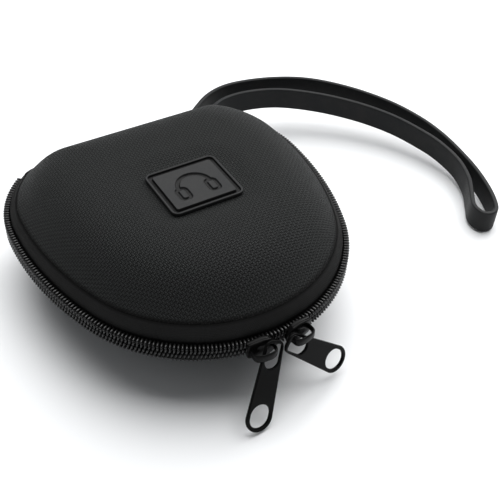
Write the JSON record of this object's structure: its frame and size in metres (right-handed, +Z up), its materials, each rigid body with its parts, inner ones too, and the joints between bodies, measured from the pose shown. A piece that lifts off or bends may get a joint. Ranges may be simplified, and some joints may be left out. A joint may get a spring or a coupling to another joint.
{
  "type": "headphone carrying case",
  "caption": "Rounded semi-hard fabric clamshell case that zips open round the front and sides, with a raised badge, long zip pulls and a rubber wrist loop.",
  "frame": {"origin": "on the flat underside, below the centre of the front arc of the outline", "axes": "+Z up through the lid, -Y towards the front where the two zip sliders meet, +Y towards the fabric hinge, +X towards the side the wrist strap lies on"},
  "size_m": [0.1946, 0.1558, 0.0484],
  "materials": {
    "woven_fabric": "matte",
    "eva_foam": "matte",
    "lining": "matte",
    "zip_tape": "matte",
    "binding": "matte",
    "nylon_coil": "satin",
    "badge_rubber": "satin",
    "strap_rubber": "satin",
    "anchor_plastic": "satin",
    "slider_enamel": "gloss"
  },
  "bodies": {
    "base": {"lower_outer_fabric": "woven_fabric", "lower_moulded_core": "eva_foam", "lower_lining": "lining", "lower_zip_tape": "zip_tape", "lower_zip_coil": "nylon_coil", "lower_inner_binding": "binding", "hinge_outer_fabric": "zip_tape", "hinge_inner_lining": "lining", "strap_anchor": "anchor_plastic"},
    "lid": {"upper_outer_fabric": "woven_fabric", "upper_moulded_core": "eva_foam", "upper_lining": "lining", "upper_zip_tape": "zip_tape", "upper_zip_coil": "nylon_coil", "upper_inner_binding": "binding", "badge": "badge_rubber"},
    "slider_left": {"slider_body_left": "slider_enamel", "slider_crown_left": "slider_enamel"},
    "slider_right": {"slider_body_right": "slider_enamel", "slider_crown_right": "slider_enamel"},
    "pull_left": {"pull_tab_left": "slider_enamel"},
    "pull_right": {"pull_tab_right": "slider_enamel"},
    "strap": {"wrist_strap": "strap_rubber"}
  },
  "joints": [
    {"name": "lid_hinge", "type": "hinge", "parent": "base", "child": "lid", "pos_m": [0, 0.0592, 0.0245], "axis": [-1, 0, 0], "range_deg": [0, 110], "deforming": ["hinge_outer_fabric", "hinge_inner_lining"]},
    {"name": "left_slide", "type": "hinge", "parent": "base", "child": "slider_left", "pos_m": [0, 0, 0.0245], "axis": [0, 0, -1], "range_deg": [0, 55]},
    {"name": "right_slide", "type": "hinge", "parent": "base", "child": "slider_right", "pos_m": [0, 0, 0.0245], "axis": [0, 0, 1], "range_deg": [0, 54]},
    {"name": "left_pull_swing", "type": "hinge", "parent": "slider_left", "child": "pull_left", "pos_m": [-0.00268, -0.05844, 0.0245], "axis": [-0.1115, -0.9938, 0], "range_deg": [0, 4]},
    {"name": "right_pull_swing", "type": "hinge", "parent": "slider_right", "child": "pull_right", "pos_m": [0.00451, -0.05833, 0.0245], "axis": [0.1426, -0.9898, 0], "range_deg": [-10, 3]},
    {"name": "strap_swing", "type": "hinge", "parent": "base", "child": "strap", "pos_m": [0.0335, 0.0665, 0.017], "axis": [0, 0, 1], "range_deg": [-20, 35]}
  ]
}
